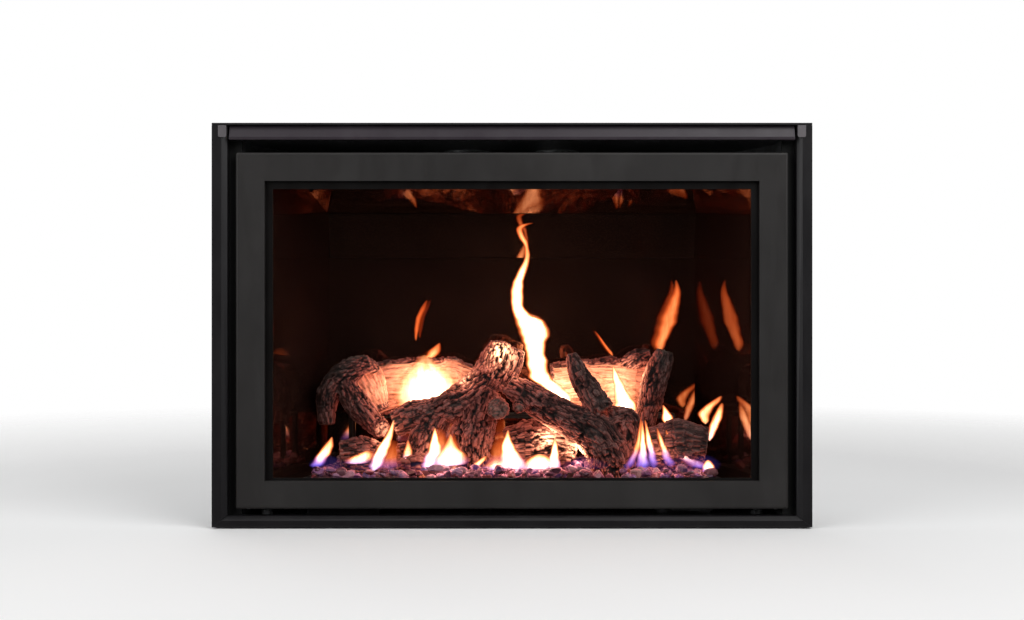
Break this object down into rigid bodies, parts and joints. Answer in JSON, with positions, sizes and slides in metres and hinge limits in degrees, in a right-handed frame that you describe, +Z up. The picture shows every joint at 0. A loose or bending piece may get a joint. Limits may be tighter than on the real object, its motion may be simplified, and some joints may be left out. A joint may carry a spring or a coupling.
{
  "type": "fireplace insert",
  "caption": "Direct-vent gas fireplace insert: black trim frame and hood, tilting glass door, ceramic log set on a stone bed, sheet-steel casing with flue and intake collars on top.",
  "frame": {"origin": "on the surface it stands on, under the middle of its width and depth", "axes": "+X to the viewer's right when facing the glass, +Y to the back, +Z up"},
  "size_m": [0.965, 0.4032, 0.668],
  "materials": {
    "trim_metal": "satin black powder coat",
    "clip_metal": "satin grey",
    "face_metal": "satin charcoal paint",
    "frame_metal": "matt black paint",
    "door_glass": "clear ceramic glass",
    "rope": "glass-fibre rope, dark grey",
    "galvanised": "zinc-coated sheet",
    "firebox_metal": "high-temperature black paint",
    "panel_glass": "polished black ceramic glass",
    "burner_metal": "black steel",
    "raw_steel": "bare steel",
    "log_ceramic": "moulded ceramic fibre, charred bark",
    "stone_glass": "tumbled glass stones, reddish",
    "aluminium": "plain",
    "cast_valve": "die-cast, fine grain",
    "brass": "turned brass",
    "black_plastic": "moulded black plastic",
    "motor_steel": "laminated steel, varnished"
  },
  "bodies": {
    "insert": {"trim_left": "trim_metal", "trim_right": "trim_metal", "trim_top": "trim_metal", "trim_bottom": "trim_metal", "trim_hood": "trim_metal", "hood_clips": "clip_metal", "door_hardware": "raw_steel", "casing_left": "galvanised", "casing_right": "galvanised", "casing_top": "galvanised", "casing_back": "galvanised", "casing_base": "galvanised", "firebox_shell": "firebox_metal", "firebox_front": "firebox_metal", "firebox_floor": "firebox_metal", "firebox_top": "firebox_metal", "liner_left": "panel_glass", "liner_right": "panel_glass", "liner_back_lower": "panel_glass", "liner_back_upper": "panel_glass", "liner_ceiling": "panel_glass", "burner_pan": "burner_metal", "burner_air_box": "galvanised", "venturi_tube": "raw_steel", "pilot_burner": "raw_steel", "log_rack": "burner_metal", "log_rear_left": "log_ceramic", "log_rear_right": "log_ceramic", "log_branch_left": "log_ceramic", "log_fork_centre": "log_ceramic", "log_cross_centre": "log_ceramic", "log_upright_right": "log_ceramic", "log_ember": "log_ceramic", "log_front_stubs": "log_ceramic", "fire_stones": "stone_glass", "flue_duct": "galvanised", "intake_duct": "galvanised", "blower_housing": "galvanised", "blower_motor": "motor_steel", "gas_valve": "cast_valve", "gas_pipes": "brass", "receiver_box": "black_plastic", "power_inlet": "black_plastic"},
    "door": {"door_face": "face_metal", "glass_frame": "frame_metal", "glass_pane": "door_glass", "glass_gasket": "rope", "door_pivots": "raw_steel"},
    "blower_wheel": {"blower_wheel": "aluminium"},
    "valve_knob": {"valve_knob": "black_plastic"},
    "flame_knob": {"flame_knob": "black_plastic"},
    "receiver_switch": {"receiver_switch": "black_plastic"},
    "air_shutter": {"air_shutter": "raw_steel"},
    "restrictor": {"restrictor": "raw_steel"},
    "relief_flap_left": {"relief_flap_left": "raw_steel"},
    "relief_flap_right": {"relief_flap_right": "raw_steel"},
    "foot_front_left": {"foot_front_left": "raw_steel"},
    "foot_front_right": {"foot_front_right": "raw_steel"},
    "foot_rear_left": {"foot_rear_left": "raw_steel"},
    "foot_rear_right": {"foot_rear_right": "raw_steel"}
  },
  "joints": [
    {"name": "door_tilt", "type": "hinge", "parent": "insert", "child": "door", "pos_m": [0, -0.1854, 0.0359], "axis": [1, 0, 0], "range_deg": [0, 90]},
    {"name": "blower_spin", "type": "hinge", "parent": "insert", "child": "blower_wheel", "pos_m": [0.11, 0.1716, 0.052], "axis": [1, 0, 0], "continuous": true},
    {"name": "valve_knob_turn", "type": "hinge", "parent": "insert", "child": "valve_knob", "pos_m": [0.258, -0.1354, 0.036], "axis": [0, -1, 0], "range_deg": [0, 180]},
    {"name": "flame_knob_turn", "type": "hinge", "parent": "insert", "child": "flame_knob", "pos_m": [0.308, -0.1354, 0.036], "axis": [0, -1, 0], "range_deg": [0, 180]},
    {"name": "switch_slide", "type": "slide", "parent": "insert", "child": "receiver_switch", "axis": [1, 0, 0], "range_m": [0, 0.008]},
    {"name": "shutter_turn", "type": "hinge", "parent": "insert", "child": "air_shutter", "pos_m": [0, -0.0464, 0.038], "axis": [0, 1, 0], "range_deg": [0, 60]},
    {"name": "restrictor_slide", "type": "slide", "parent": "insert", "child": "restrictor", "axis": [-1, 0, 0], "range_m": [0, 0.03]},
    {"name": "flap_left_hinge", "type": "hinge", "parent": "insert", "child": "relief_flap_left", "pos_m": [-0.235, -0.0404, 0.5778], "axis": [-1, 0, 0], "range_deg": [0, 25]},
    {"name": "flap_right_hinge", "type": "hinge", "parent": "insert", "child": "relief_flap_right", "pos_m": [0.235, -0.0404, 0.5778], "axis": [-1, 0, 0], "range_deg": [0, 25]},
    {"name": "foot_front_left_screw", "type": "slide", "parent": "insert", "child": "foot_front_left", "axis": [0, 0, -1], "range_m": [0, 0.02]},
    {"name": "foot_front_right_screw", "type": "slide", "parent": "insert", "child": "foot_front_right", "axis": [0, 0, -1], "range_m": [0, 0.02]},
    {"name": "foot_rear_left_screw", "type": "slide", "parent": "insert", "child": "foot_rear_left", "axis": [0, 0, -1], "range_m": [0, 0.02]},
    {"name": "foot_rear_right_screw", "type": "slide", "parent": "insert", "child": "foot_rear_right", "axis": [0, 0, -1], "range_m": [0, 0.02]}
  ]
}
